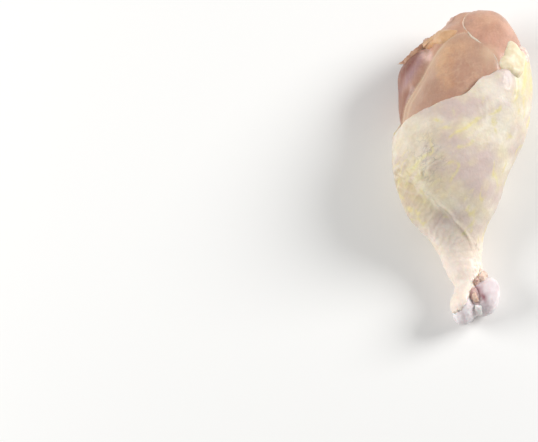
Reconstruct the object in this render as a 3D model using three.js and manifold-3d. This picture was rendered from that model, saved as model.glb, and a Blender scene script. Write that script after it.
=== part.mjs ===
// Raw chicken drumstick, lying down with its skin side up.
//
// The flesh is a bundle of muscle bellies round the shin bone. The skin is a sleeve that covers it from the
// ankle up to a slanting cut edge, past which the bare bellies show. The bone runs the whole length: its
// two ankle condyles stick out of the sleeve, and its knee end shows between the bellies at the cut.
// Every surface is the place where a distance field reaches a set value, found by casting rays out of a
// spine, so flesh, skin and fat follow one another at a constant gap.
//
// Millimetres and degrees. +Y runs from ankle to knee, +Z is up, and the drumstick rests on z = 0.
import * as THREE from "three";
import { mergeVertices } from "three/addons/utils/BufferGeometryUtils.js";
import Module from "manifold-3d";

// ---------------------------------------------------------------- driving dimensions
const SKIN_THICKNESS = 1.5;
const FIT_GAP = 0.3; // clear space between touching pieces
const FLESH_CREASE = 2.5; // blend radius between bare bellies, small so that grooves show
const SKIN_BRIDGE = 8; // blend radius under the skin, large because skin spans the grooves
const TENDON_BLEND = 8; // how softly the bellies run into the shank
const CARTILAGE_BLEND = 3; // how softly the bone's knobs run into its shaft
const ANKLE_WRAP = 4; // how softly the skin passes from shank to bone
const BASE_ROUNDING = 3; // rounding where the resting side flattens
const BASE_PRESS = 1.2; // how far the underside of the skin is pressed flat

// Muscle bellies: ellipsoids whose long axis is Y before yaw (towards +X) and pitch (far end up).
const BELLIES = {
  calf: { centre: [-4, 13, 20.5], radii: [21, 44, 21.5], yaw: 8, pitch: 2 },
  front: { centre: [11.8, 34, 19.5], radii: [18.1, 36, 19.5], yaw: -2, pitch: 2 },
  inner: { centre: [-16, 28.5, 15], radii: [12.5, 26, 14.5], yaw: -2, pitch: 3 },
  deep: { centre: [-2.5, 42.5, 17], radii: [13, 28.5, 14], yaw: 6, pitch: 0 },
  flexor: { centre: [-13, -1.5, 16], radii: [15.3, 26, 17], yaw: -7, pitch: 5 },
  shin: { centre: [4.5, -5, 15.5], radii: [13, 28, 15], yaw: 10, pitch: 5 },
};
const SHANK = { from: [-7, -20, 14], fromRadius: 10.5, to: [0.7, -46, 9.8], toRadius: 5.8 };
// The hollow at the far end, under the bellies, where the knee joint was.
const KNEE_HOLLOW = { centre: [4, 72, 14], radii: [13, 11.5, 7.5], yaw: 0, pitch: 0 };

// Bone: two ankle condyles, a shaft in two tapers, and the two-lobed knee end.
const BONE_TAPERS = [
  { from: [1.5, -44, 9.8], fromRadius: 4.6, to: [6.5, -58, 9.2], toRadius: 6.2 },
  { from: [1.5, -44, 9.8], fromRadius: 4.6, to: [4, 52, 15.5], toRadius: 5 },
];
const BONE_KNOBS = [
  { centre: [11.2, -59.5, 9.8], radii: [5.6, 8.8, 9.2], yaw: 14, pitch: 0 },
  { centre: [1.8, -64, 9.4], radii: [5.4, 8.2, 8.7], yaw: 18, pitch: 0 },
  { centre: [-1.5, 58, 15], radii: [7, 7, 6.2], yaw: 0, pitch: 0 },
  { centre: [9.5, 58.5, 15.2], radii: [7, 7, 6.2], yaw: 0, pitch: 0 },
];

// Ray origins: [y, x, z] along the flesh, and along the bone.
const FLESH_SPINE = [
  [-62, 6, 9.2], [-46, 1.5, 9.8], [-38, -1.5, 11.5], [-25, -4.5, 14.5],
  [-10, -5.5, 17], [10, -3, 19], [30, 0.5, 19.5], [54, 1, 19.5],
];
const BONE_SPINE = [
  [-63, 6.5, 9.2], [-46, 1.8, 9.7], [-30, 1.9, 10.6], [58, 4, 15.2],
];
const KNEE_START = 54; // beyond this station the rays fan out round the knee end
const KNEE_RADIUS = 17; // station length of one radian of that fan
const KNEE_POLE = KNEE_START + (KNEE_RADIUS * Math.PI) / 2;
const FLESH_END = -50; // the flesh stops short of the ankle

// Free edges of the skin: [angle round the spine, station]. 0 is the right side and 90 the top.
const CUT_EDGE = [
  [-150, 27], [-110, 40], [-60, 48], [-15, 53], [13, 52], [20, 45], [29, 36.5], [36, 35.5],
  [43, 37.5], [53, 35.5], [64, 33], [78, 28.5], [90, 25.3], [112, 22], [135, 20.5], [158, 18.5], [182, 15.7],
];
const ANKLE_EDGE = [
  [-150, -54], [-90, -50], [-20, -48.5], [30, -49], [70, -54], [105, -61], [140, -61], [180, -57],
];
// The tuck under the calf: a line seen from above, past which the skin drops. It shows on the upper side
// only, between the heights given, and fades out along Y before the ankle.
const TUCK = { from: [-29, -8], to: [2, -35], depth: 0.7, softness: 2.5, heights: [6, 14], fade: [-50, -40] };

// Fat: flat lumps on the bare flesh, at [angle, station], half sizes in mm across and along.
// A lump's outline swells and shrinks by its raggedness, and its rim is nearly pinched shut.
const FAT_ROOT = 1; // how far a lump starts inside the flesh before it is cut to fit
const FAT_RIM = 0.14; // height of the rim, as a share of the thickness
const FAT_LUMPS = {
  fat_pad: { at: [34, 45.5], across: 5, along: 6.5, turn: 8, thickness: 2.4, ragged: 0.12 },
  fat_seam: { at: [147, 55.3], across: 7.4, along: 3.3, turn: -4, thickness: 1.8, ragged: 0.12 },
};

// Facets. A stretch is [first station, last station, rings between them].
const AROUND = 48;
const SKIN_RINGS = 27;
const FLESH_STRETCHES = [[KNEE_POLE, KNEE_START, 8], [KNEE_START, 14, 13], [14, FLESH_END, 12]];
const BONE_AROUND = 20;
const BONE_DOME_RINGS = 5;
const BONE_STRETCHES = [[58, 46, 3], [46, -40, 4], [-40, -63, 12]];
const LUMP_SPOKES = 18;
const LUMP_RINGS = 4;
const RAY_LENGTH = 60;
const RAY_STEPS = 26;

// ---------------------------------------------------------------- small mathematics
const radians = THREE.MathUtils.degToRad;
const { clamp, lerp, smoothstep, euclideanModulo } = THREE.MathUtils;

function smoothMin(a, b, blend) {
  const h = clamp(0.5 + (0.5 * (b - a)) / blend, 0, 1);
  return lerp(b, a, h) - blend * h * (1 - h);
}

function smoothMax(a, b, blend) {
  return -smoothMin(-a, -b, blend);
}

// Catmull-Rom value of column `column` of a table whose first column rises.
function curveValue(table, at, column = 1) {
  const last = table.length - 1;
  const key = clamp(at, table[0][0], table[last][0]);
  let i = 0;
  while (i < last - 1 && key > table[i + 1][0]) i += 1;
  const [a, b] = [table[i], table[i + 1]];
  const slope = (j) => {
    const [before, after] = [table[Math.max(j - 1, 0)], table[Math.min(j + 1, last)]];
    return (after[column] - before[column]) / (after[0] - before[0]);
  };
  const span = b[0] - a[0];
  const t = (key - a[0]) / span;
  return (
    (2 * t ** 3 - 3 * t ** 2 + 1) * a[column] +
    (t ** 3 - 2 * t ** 2 + t) * span * slope(i) +
    (3 * t ** 2 - 2 * t ** 3) * b[column] +
    (t ** 3 - t ** 2) * span * slope(i + 1)
  );
}

// The same for a table of angles that closes on itself.
function roundValue(table, angle) {
  const turn = 360;
  const shifted = (by) => table.map(([key, value]) => [key + by, value]);
  const wrapped = [...shifted(-turn).slice(-2), ...table, ...shifted(turn).slice(0, 2)];
  return curveValue(wrapped, euclideanModulo(angle - table[0][0], turn) + table[0][0]);
}

// ---------------------------------------------------------------- distance fields
function ellipsoidDistance(point, { centre, radii, yaw, pitch }) {
  const p = point.clone().sub(new THREE.Vector3(...centre));
  p.applyAxisAngle(new THREE.Vector3(0, 0, 1), radians(yaw));
  p.applyAxisAngle(new THREE.Vector3(1, 0, 0), radians(-pitch));
  const size = new THREE.Vector3(...radii);
  const unit = p.clone().divide(size);
  const slope = unit.clone().divide(size).length();
  return (unit.length() * (unit.length() - 1)) / Math.max(slope, 1e-9);
}

function taperDistance(point, { from, fromRadius, to, toRadius }) {
  const line = new THREE.Line3(new THREE.Vector3(...from), new THREE.Vector3(...to));
  const along = line.closestPointToPointParameter(point, true);
  return point.distanceTo(line.at(along, new THREE.Vector3())) - lerp(fromRadius, toRadius, along);
}

function bundleDistance(point, crease) {
  const bellies = Object.values(BELLIES).map((belly) => ellipsoidDistance(point, belly));
  const bundle = bellies.reduce((a, b) => smoothMin(a, b, crease));
  return smoothMin(bundle, taperDistance(point, SHANK), TENDON_BLEND);
}

function boneDistance(point) {
  const shaft = Math.min(...BONE_TAPERS.map((taper) => taperDistance(point, taper)));
  return BONE_KNOBS.reduce(
    (distance, knob) => smoothMin(distance, ellipsoidDistance(point, knob), CARTILAGE_BLEND),
    shaft,
  );
}

function fleshDistance(point) {
  const floor = SKIN_THICKNESS + FIT_GAP;
  const bundle = smoothMax(bundleDistance(point, FLESH_CREASE), floor - point.z, BASE_ROUNDING);
  return smoothMax(bundle, -ellipsoidDistance(point, KNEE_HOLLOW), FLESH_CREASE);
}

function tuckDrop(point) {
  const { from, to, depth, softness, heights, fade } = TUCK;
  const [dx, dy] = [to[0] - from[0], to[1] - from[1]];
  const past = ((point.x - from[0]) * dy - (point.y - from[1]) * dx) / Math.hypot(dx, dy);
  const onTop = smoothstep(point.z, ...heights);
  const beforeAnkle = smoothstep(point.y, ...fade);
  return depth * onTop * beforeAnkle * smoothstep(past, -softness, softness);
}

// A face of the skin, at an offset from what it covers and flattened at a height over the resting surface.
function skinDistance(point, offset, floor) {
  const knuckle = boneDistance(point) - FIT_GAP;
  const wrapped = smoothMin(bundleDistance(point, SKIN_BRIDGE), knuckle, ANKLE_WRAP);
  return smoothMax(wrapped - offset, floor - point.z, BASE_ROUNDING);
}

// ---------------------------------------------------------------- casting rays
function castRay(distance, origin, direction) {
  let [inside, outside] = [0, RAY_LENGTH];
  const point = new THREE.Vector3();
  for (let step = 0; step < RAY_STEPS; step += 1) {
    const middle = (inside + outside) / 2;
    point.copy(origin).addScaledVector(direction, middle);
    if (distance(point) < 0) inside = middle;
    else outside = middle;
  }
  return point;
}

// A ray across the spine at a station, or fanned towards +Y (or -Y) by tilt.
function spineRay(spine, y, angle, tilt = 0) {
  const origin = new THREE.Vector3(curveValue(spine, y, 1), y, curveValue(spine, y, 2));
  const [a, t] = [radians(angle), tilt];
  const direction = new THREE.Vector3(Math.cos(t) * Math.cos(a), Math.sin(t), Math.cos(t) * Math.sin(a));
  return [origin, direction];
}

// The ray at an angle and a station, where stations past KNEE_START fan round the knee end.
function fleshRay(angle, station) {
  const tilt = Math.max(0, station - KNEE_START) / KNEE_RADIUS;
  return spineRay(FLESH_SPINE, Math.min(station, KNEE_START), angle, tilt);
}

function evenly(from, to, count) {
  return Array.from({ length: count }, (_, i) => lerp(from, to, i / (count - 1)));
}

const angles = (count) => evenly(0, 360, count + 1).slice(0, -1);
const stretch = ([from, to, rings]) => evenly(from, to, rings + 1).slice(1);

// ---------------------------------------------------------------- meshes
// Rings of points, from the +Y end towards -Y. `loop` joins the last ring to the first, as on a sleeve;
// otherwise a pole closes each end.
function ringsSolid(rings, loop, poles = []) {
  const around = rings[0].length;
  const points = [...rings.flat(), ...poles];
  const index = [];
  const rows = loop ? rings.length : rings.length - 1;
  for (let i = 0; i < rows; i += 1) {
    const [row, next] = [i * around, ((i + 1) % rings.length) * around];
    for (let j = 0; j < around; j += 1) {
      const k = (j + 1) % around;
      index.push(row + j, next + k, next + j, row + j, row + k, next + k);
    }
  }
  if (!loop) {
    const [first, last] = [rings.length * around, rings.length * around + 1];
    const tail = (rings.length - 1) * around;
    for (let j = 0; j < around; j += 1) {
      const k = (j + 1) % around;
      index.push(first, k, j, last, tail + j, tail + k);
    }
  }
  return new THREE.BufferGeometry().setFromPoints(points).setIndex(index);
}

function fleshGeometry(clearance) {
  const distance = (point) => fleshDistance(point) - clearance;
  const rings = FLESH_STRETCHES.flatMap(stretch).map((station) =>
    angles(AROUND).map((angle) => castRay(distance, ...fleshRay(angle, station))),
  );
  const kneePole = castRay(distance, ...fleshRay(0, KNEE_POLE));
  const anklePole = fleshRay(0, FLESH_END)[0];
  return ringsSolid(rings, false, [kneePole, anklePole]);
}

function skinGeometry() {
  const outer = (point) => skinDistance(point, FIT_GAP + SKIN_THICKNESS, -BASE_PRESS) + tuckDrop(point);
  const inner = (point) => skinDistance(point, FIT_GAP, SKIN_THICKNESS);
  const ring = (share, distance) =>
    angles(AROUND).map((angle) => {
      const station = lerp(roundValue(CUT_EDGE, angle), roundValue(ANKLE_EDGE, angle), share);
      const point = castRay(distance, ...fleshRay(angle, station));
      if (distance === outer) point.z = Math.max(point.z, 0);
      return point;
    });
  const shares = evenly(0, 1, SKIN_RINGS);
  const down = shares.map((share) => ring(share, outer));
  const back = shares.map((share) => ring(share, inner)).reverse();
  return ringsSolid([...down, ...back], true);
}

function boneGeometry(clearance) {
  const distance = (point) => boneDistance(point) - clearance;
  const quarter = Math.PI / 2;
  const [ankle, knee] = [BONE_SPINE[0][0], BONE_SPINE.at(-1)[0]];
  const tilts = evenly(quarter, 0, BONE_DOME_RINGS + 1).slice(1);
  const rays = [
    ...tilts.map((tilt) => [knee, tilt]),
    ...BONE_STRETCHES.flatMap(stretch).map((y) => [y, 0]),
    ...tilts.slice(0, -1).reverse().map((tilt) => [ankle, -tilt]),
  ];
  const cast = (y, angle, tilt) => castRay(distance, ...spineRay(BONE_SPINE, y, angle, tilt));
  const rings = rays.map(([y, tilt]) => angles(BONE_AROUND).map((angle) => cast(y, angle, tilt)));
  return ringsSolid(rings, false, [cast(knee, 0, quarter), cast(ankle, 0, -quarter)]);
}

// A flat lump sunk a little into the flesh, which is then cut away from it.
function fatGeometry({ at, across, along, turn, thickness, ragged }) {
  const perDegree = radians(1) * castRay(fleshDistance, ...fleshRay(...at)).distanceTo(fleshRay(...at)[0]);
  const onFlesh = (share, spoke, height) => {
    const wobble = 1 + ragged * (Math.sin(radians(3 * spoke)) + 0.6 * Math.sin(radians(5 * spoke + 40)));
    const [u, v] = [across * Math.cos(radians(spoke)), along * Math.sin(radians(spoke))];
    const [c, s] = [Math.cos(radians(turn)), Math.sin(radians(turn))];
    const [du, dv] = [share * wobble * (u * c - v * s), share * wobble * (u * s + v * c)];
    const ray = fleshRay(at[0] + du / perDegree, at[1] + dv);
    return castRay((point) => fleshDistance(point) - height, ...ray);
  };
  const crown = (share) => FIT_GAP + thickness * Math.max(Math.sqrt(1 - share ** 3), FAT_RIM);
  const shares = evenly(0, 1, LUMP_RINGS + 1).slice(1);
  const ring = (share, height) => angles(LUMP_SPOKES).map((spoke) => onFlesh(share, spoke, height));
  const top = shares.map((share) => ring(share, crown(share)));
  const under = shares.map((share) => ring(share, -FAT_ROOT)).reverse();
  return ringsSolid([...top, ...under], false, [onFlesh(0, 0, crown(0)), onFlesh(0, 0, -FAT_ROOT)]);
}

// ---------------------------------------------------------------- cutting
const wasm = await Module();
wasm.setup();

function toSolid(geometry) {
  const merged = mergeVertices(geometry);
  return new wasm.Manifold(
    new wasm.Mesh({
      numProp: 3,
      vertProperties: merged.attributes.position.array,
      triVerts: new Uint32Array(merged.index.array),
    }),
  );
}

function toGeometry(solid) {
  const mesh = solid.getMesh();
  return new THREE.BufferGeometry()
    .setAttribute("position", new THREE.BufferAttribute(mesh.vertProperties, 3))
    .setIndex(new THREE.BufferAttribute(mesh.triVerts, 1));
}

// ---------------------------------------------------------------- the drumstick
const MATERIALS = {
  meat: { color: "#c79a8a", roughness: 0.38 },
  skin: { color: "#e2d6c2", roughness: 0.45 },
  cartilage: { color: "#ddd0d2", roughness: 0.3 },
  fat: { color: "#ece2bd", roughness: 0.45 },
};

function piece(name, geometry, finish) {
  const material = new THREE.MeshStandardMaterial({ ...MATERIALS[finish], metalness: 0 });
  geometry.computeVertexNormals();
  const mesh = new THREE.Mesh(geometry, material);
  mesh.name = name;
  return mesh;
}

const flesh = toSolid(fleshGeometry(0)).subtract(toSolid(boneGeometry(FIT_GAP)));
const fleshWithGap = toSolid(fleshGeometry(FIT_GAP));
const drumstick = new THREE.Group();
drumstick.add(piece("meat", toGeometry(flesh), "meat"));
drumstick.add(piece("skin", skinGeometry(), "skin"));
drumstick.add(piece("bone", boneGeometry(0), "cartilage"));
for (const [name, lump] of Object.entries(FAT_LUMPS)) {
  drumstick.add(piece(name, toGeometry(toSolid(fatGeometry(lump)).subtract(fleshWithGap)), "fat"));
}

// The origin is under the middle of the drumstick, on the surface it lies on.
const box = new THREE.Box3().setFromObject(drumstick);
const middle = box.getCenter(new THREE.Vector3());
drumstick.position.set(-middle.x, -middle.y, -box.min.z);

export default drumstick;
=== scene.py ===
import math

import bpy
import numpy as np
from mathutils import Matrix, Vector, noise


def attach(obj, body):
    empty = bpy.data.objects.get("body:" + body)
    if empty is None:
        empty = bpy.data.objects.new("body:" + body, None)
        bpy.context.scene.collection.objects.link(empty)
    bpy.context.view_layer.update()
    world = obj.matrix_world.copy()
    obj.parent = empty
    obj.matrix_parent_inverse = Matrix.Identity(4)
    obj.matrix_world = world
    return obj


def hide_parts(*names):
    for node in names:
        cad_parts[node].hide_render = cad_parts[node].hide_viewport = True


# A raw chicken drumstick on its side: muscles bare at the knee, a sleeve of skin from the calf to the
# ankle, the ankle's two cartilage knobs, and a little fat where the thigh was cut away.
# Sizes are in millimetres, turned to metres where each mesh is made. Shader depths, the floor, the lights
# and the camera are in metres.
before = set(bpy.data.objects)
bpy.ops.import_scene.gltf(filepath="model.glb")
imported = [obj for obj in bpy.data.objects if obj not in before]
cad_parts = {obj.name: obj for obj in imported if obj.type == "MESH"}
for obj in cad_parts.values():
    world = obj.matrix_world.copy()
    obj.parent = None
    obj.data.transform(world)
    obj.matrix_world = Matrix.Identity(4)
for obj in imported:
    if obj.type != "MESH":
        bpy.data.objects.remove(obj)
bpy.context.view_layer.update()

# ---- Muscles ----
# Six bellies of lean meat, each in a thin clear sheath, run from the knee down to the ankle tendons.
# They grow round the shin bone and are bare at the knee, where the skin was cut with the thigh.
MM = 0.001
# Places are measured from a point low in the calf, and ORIGIN is where it lies in the frame.
ORIGIN = np.array([-0.214, 1.091, 0])
# The centre and radii of each belly, and its turn and tilt in degrees.
BELLIES = {
    "calf": ([-4, 13, 20.5], [21, 44, 21.5], 8, 2),
    "front": ([11.8, 34, 19.5], [18.1, 36, 19.5], -2, 2),
    "deep": ([-2.5, 42.5, 17], [13, 28.5, 14], 6, 0),
    "inner": ([-16, 28.5, 15], [12.5, 26, 14.5], -2, 3),
    "flexor": ([-13, -1.5, 16], [15.3, 26, 17], -7, 5),
    "shin": ([4.5, -5, 15.5], [13, 28, 15], 10, 5),
}
SHANK = ([-7, -20, 14], 10.5, [0.7, -46, 9.8], 5.8)
KNEE_HOLLOW = ([4, 72, 14], [13, 11.5, 7.5])
# The y of places along the leg, and the x and z of its middle there.
SPINE = [
    [-62, 6, 9.2], [-46, 1.5, 9.8], [-38, -1.5, 11.5], [-25, -4.5, 14.5],
    [-10, -5.5, 17], [10, -3, 19], [30, 0.5, 19.5], [54, 1, 19.5],
]
KNEE_START, KNEE_RADIUS = 54, 17
KNEE_POLE = KNEE_START + KNEE_RADIUS * math.pi / 2
MUSCLE_END = -50
MUSCLE_FLOOR = 1.8
# How softly each belly runs into the others, and other forms into each other.
CREASES = {"front": 7, "deep": 8, "inner": 1.8, "flexor": 2, "shin": 2}
TENDON_BLEND, FLOOR_BLEND, HOLLOW_BLEND, KNOB_BLEND = 8, 3, 2.5, 3
# Borders between the bellies, as they show from above.
KNEE_POINT = [2.2, 56.4]
FRONT_BORDER = [[18, 32], [16.6, 38], [14.3, 43.8], [8.9, 49.2], [4.5, 53.4], KNEE_POINT]
DEEP_BORDER = [KNEE_POINT, [0.4, 61.4], [1.2, 65.6], [4.6, 70.5]]
INNER_BORDER = [
    [-27.5, 14], [-26.6, 19], [-24.6, 25.2], [-20.5, 31.6], [-15.6, 40.1], [-11.6, 47.6], [-7.6, 52.3],
    [-2.7, 55.6], KNEE_POINT,
]


def clamp(value):
    return np.clip(value, 0, 1)


def smooth_min(a, b, blend):
    share = clamp(0.5 + 0.5 * (b - a) / blend)
    return b + (a - b) * share - blend * share * (1 - share)


def smooth_max(a, b, blend):
    return -smooth_min(-a, -b, blend)


def ease(low, high, value):
    """0 before `low`, 1 past `high`, and a smooth change between them."""
    share = clamp((value - low) / (high - low))
    return share * share * (3 - 2 * share)


def belly_distance(points, centre, radii, yaw=0, pitch=0):
    """How far the points lie outside an egg-shaped form."""
    y, p = math.radians(yaw), math.radians(pitch)
    turn = np.array([[1, 0, 0], [0, math.cos(p), math.sin(p)], [0, -math.sin(p), math.cos(p)]])
    turn = turn @ np.array([[math.cos(y), -math.sin(y), 0], [math.sin(y), math.cos(y), 0], [0, 0, 1]])
    scaled = (points - np.array(centre)) @ turn.T / np.array(radii)
    size = np.linalg.norm(scaled, axis=-1)
    slope = np.maximum(np.linalg.norm(scaled / np.array(radii), axis=-1), 1e-9)
    return size * (size - 1) / slope


def taper_distance(points, start, start_radius, end, end_radius):
    start, line = np.array(start), np.array(end) - np.array(start)
    share = clamp((points - start) @ line / (line @ line))
    axis = start + share[..., None] * line
    return np.linalg.norm(points - axis, axis=-1) - (start_radius + (end_radius - start_radius) * share)


def bundle_distance(points, creases):
    """How far the points lie outside all the bellies and the tendons that they taper to."""
    bundle = belly_distance(points, *BELLIES["calf"])
    for belly, crease in creases.items():
        bundle = smooth_min(bundle, belly_distance(points, *BELLIES[belly]), crease)
    return smooth_min(bundle, taper_distance(points, *SHANK), TENDON_BLEND)


def muscle_distance(points):
    bundle = smooth_max(bundle_distance(points, CREASES), MUSCLE_FLOOR - points[..., 2], FLOOR_BLEND)
    return smooth_max(bundle, -belly_distance(points, *KNEE_HOLLOW), HOLLOW_BLEND)


def curve_at(table, at):
    """Smooth values, at each of `at`, of a table whose first column rises."""
    table = np.array(table, float)
    key, value = table[:, 0], table[:, 1:]
    before = np.maximum(np.arange(len(key)) - 1, 0)
    after = np.minimum(np.arange(len(key)) + 1, len(key) - 1)
    slope = (value[after] - value[before]) / (key[after] - key[before])[:, None]
    at = np.clip(at, key[0], key[-1])
    i = np.clip(np.searchsorted(key, at) - 1, 0, len(key) - 2)
    span = (key[i + 1] - key[i])[..., None]
    t = (at - key[i])[..., None] / span
    first = (2 * t**3 - 3 * t**2 + 1) * value[i] + (t**3 - 2 * t**2 + t) * span * slope[i]
    return first + (3 * t**2 - 2 * t**3) * value[i + 1] + (t**3 - t**2) * span * slope[i + 1]


def cast(distance, start, way, reach=60, steps=24):
    """Where rays from inside a form meet its face."""
    near, far = np.zeros(start.shape[:-1]), np.full(start.shape[:-1], float(reach))
    for _ in range(steps):
        middle = (near + far) / 2
        inside = distance(start + way * middle[..., None]) < 0
        near, far = np.where(inside, middle, near), np.where(inside, far, middle)
    return start + way * near[..., None]


def limb_rays(spine, angle, along, tilt):
    """Rays from the middle of a limb, at degrees about its length. A tilt leans them to its end."""
    angle, along, tilt = np.broadcast_arrays(np.radians(angle), along, tilt)
    middle = curve_at(spine, along)
    start = np.stack([middle[..., 0], along, middle[..., 1]], -1)
    return start, np.stack([np.cos(tilt) * np.cos(angle), np.sin(tilt), np.cos(tilt) * np.sin(angle)], -1)


def leg_rays(angle, station):
    """Rays across the leg, which fan out at stations past the knee's start."""
    tilt = np.maximum(0, station - KNEE_START) / KNEE_RADIUS
    return limb_rays(SPINE, angle, np.minimum(station, KNEE_START), tilt)


def unit(vectors):
    return vectors / np.maximum(np.linalg.norm(vectors, axis=-1, keepdims=True), 1e-9)


def facing(distance, points, step=0.05):
    """Outward directions of a form's face at the points."""
    return unit(np.stack([distance(points + a) - distance(points - a) for a in step * np.eye(3)], -1))


def drawn(line, count=None):
    """A smooth curve through the points of a line, and how far along it each of its even steps is."""
    line = np.array(line, float)
    walked = np.concatenate([[0], np.cumsum(np.linalg.norm(np.diff(line, axis=0), axis=1))])
    along = np.linspace(0, walked[-1], count or int(walked[-1]) + 2)
    return curve_at(np.column_stack([walked, line]), along), along


def beside(points, line):
    """How far points lie to the right of a curve drawn on the top, and how far along it they are, in mm."""
    curve, along = drawn(line)
    ahead = np.gradient(curve, axis=0)
    nearest = ((points[..., None, :2] - curve) ** 2).sum(-1).argmin(-1)
    off, ahead = points[..., :2] - curve[nearest], ahead[nearest]
    side = np.sign(off[..., 0] * ahead[..., 1] - off[..., 1] * ahead[..., 0])
    return side * np.linalg.norm(off, axis=-1), along[nearest]


def bell(distance, width):
    """1 on a line, and close to 0 at two widths from it."""
    return np.exp(-((distance / width) ** 2))


def spot(points, x, y, across, along):
    """1 above and below the place x, y, and close to 0 at two radii from it."""
    return np.exp(-(((points[..., 0] - x) / across) ** 2 + ((points[..., 1] - y) / along) ** 2))


def patch(points, x, y, across, along, strength=1):
    """A soft patch on the upper side, with its full strength at its middle."""
    return strength * (spot(points, x, y, across, along) * ease(10, 18, points[..., 2]))


def patches(points, *places):
    return sum(patch(points, *place) for place in places)


def settle(points, distance, steps=5):
    """The nearest places on a form's face."""
    for _ in range(steps):
        points = points - facing(distance, points) * distance(points)[..., None]
    return points


def lumps(points, size, seed, stretch=(1, 1, 1)):
    """Smooth noise from -1 to 1. Its lumps are about `size` mm across, times `stretch` along each axis."""
    scaled = (points / (size * np.array(stretch)) + 13.7 * seed).reshape(-1, 3)
    return np.array([noise.noise(p) for p in scaled.tolist()]).reshape(points.shape[:-1])


def wander(points, size, *seeds):
    """Smooth noise with a seed for each axis."""
    return np.stack([lumps(points, size, seed) for seed in seeds], -1)


def put_in_scene(name, data):
    made = bpy.data.objects.new(name, data)
    bpy.context.scene.collection.objects.link(made)
    return made


def make_piece(name, rings, material, masks=None, loop=False):
    """A smooth closed mesh from rings of points (mm). Its masks, one value a point, become attributes.

    A loop's last ring is joined to its first. Otherwise each end is closed round a point at its middle.
    """
    rows, around = rings.shape[:2]
    points = rings.reshape(-1, 3)
    j = np.arange(around)
    k = (j + 1) % around
    faces = []
    for i in range(rows if loop else rows - 1):
        a, b = i * around, (i + 1) % rows * around
        faces += np.stack([a + j, a + k, b + k, b + j], -1).tolist()
    if not loop:
        pole, tail = np.full(around, len(points)), (rows - 1) * around
        faces += np.stack([pole, k, j], -1).tolist()
        faces += np.stack([pole + 1, tail + j, tail + k], -1).tolist()
        points = np.concatenate([points, [rings[0].mean(0), rings[-1].mean(0)]])
    mesh = bpy.data.meshes.new(name)
    mesh.from_pydata(((points + ORIGIN) * MM).tolist(), [], faces)
    mesh.shade_smooth()
    for mask, values in (masks or {}).items():
        values = values.reshape(rows * around, -1)
        if not loop:
            values = np.concatenate([values, values[:1], values[-1:]])
        kind, field = ("FLOAT", "value") if values.shape[1] == 1 else ("FLOAT_VECTOR", "vector")
        attribute = mesh.attributes.new(mask, kind, "POINT")
        attribute.data.foreach_set(field, values.astype(np.float32).reshape(-1))
    mesh.materials.append(material)
    return put_in_scene(name, mesh)


def linear(colour):
    """An sRGB hex colour as linear red, green, blue and alpha."""
    parts = [part / 255 for part in bytes.fromhex(colour[1:])]
    return [c / 12.92 if c <= 0.04045 else ((c + 0.055) / 1.055) ** 2.4 for c in parts] + [1]


def add_node(tree, kind, inputs=None, out=0, **settings):
    """Adds a shader node and returns its output `out`. Inputs are values or outputs of other nodes."""
    made = tree.nodes.new("ShaderNode" + kind)
    made.location = (-220 * (len(tree.nodes) % 12) - 220, -320 * (len(tree.nodes) // 12))
    for name, value in settings.items():
        setattr(made, name, value)
    for socket, value in (inputs or {}).items():
        if isinstance(value, bpy.types.NodeSocket):
            tree.links.new(value, made.inputs[socket])
        else:
            made.inputs[socket].default_value = value
    return made.outputs[out]


def new_material(name, sockets):
    """A material with its shader's even values set, its node tree, shader, and coordinates in mm."""
    material = bpy.data.materials.new(name)
    material.use_nodes = True
    tree = material.node_tree
    shader = tree.nodes["Principled BSDF"]
    for socket, value in sockets.items():
        shader.inputs[socket].default_value = value
    metres = add_node(tree, "TexCoord", out="Object")
    mm = add_node(tree, "VectorMath", {0: metres, 3: 1 / MM}, operation="SCALE")
    return material, tree, shader, mm


def layered(tree, colour, layers):
    """Tints laid over a colour one by one, each with its share.

    A share is an output, the name of a mask, or an output with the range taken of it and what that becomes.
    """
    colour = linear(colour)
    for share, tint in layers:
        if isinstance(share, str):
            share = add_node(tree, "Attribute", out="Fac", attribute_name=share)
        elif isinstance(share, tuple):
            share = add_node(tree, "MapRange", dict(enumerate(share)))
        colour = add_node(tree, "Mix", {0: share, 6: colour, 7: linear(tint)}, 2, data_type="RGBA")
    return colour


def finish_surface(tree, shader, colour, height, strength, depth, roughness=None):
    """Gives a shader its colour, a fine relief at most `depth` metres deep, and any uneven roughness."""
    tree.links.new(colour, shader.inputs["Base Color"])
    bump = add_node(tree, "Bump", {"Height": height, "Strength": strength, "Distance": depth})
    tree.links.new(bump, shader.inputs["Normal"])
    if roughness:
        tree.links.new(roughness, shader.inputs["Roughness"])


# Wet lean meat under clear silverskin: soft light passes into it, and a film of juice gives a low gloss.
MEAT_TAN, MEAT_PINK, MEAT_BROWN, MEAT_AMBER = "#c39d86", "#d4a18c", "#834c3a", "#deb28a"
# The third colour below, a pale pink, is partly the sheath's own and partly a painted highlight.
SHEATH_WHITE, SHEATH_LILAC, PINK_HIGHLIGHT, MEAT_DARK = "#dbbfa1", "#a5848a", "#f6d0c2", "#a97f6c"
FIBRE_WIDTH, FIBRE_LENGTH, MEAT_CLOUD, MEAT_SPECK = 0.7, 12, 7, 0.9


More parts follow.
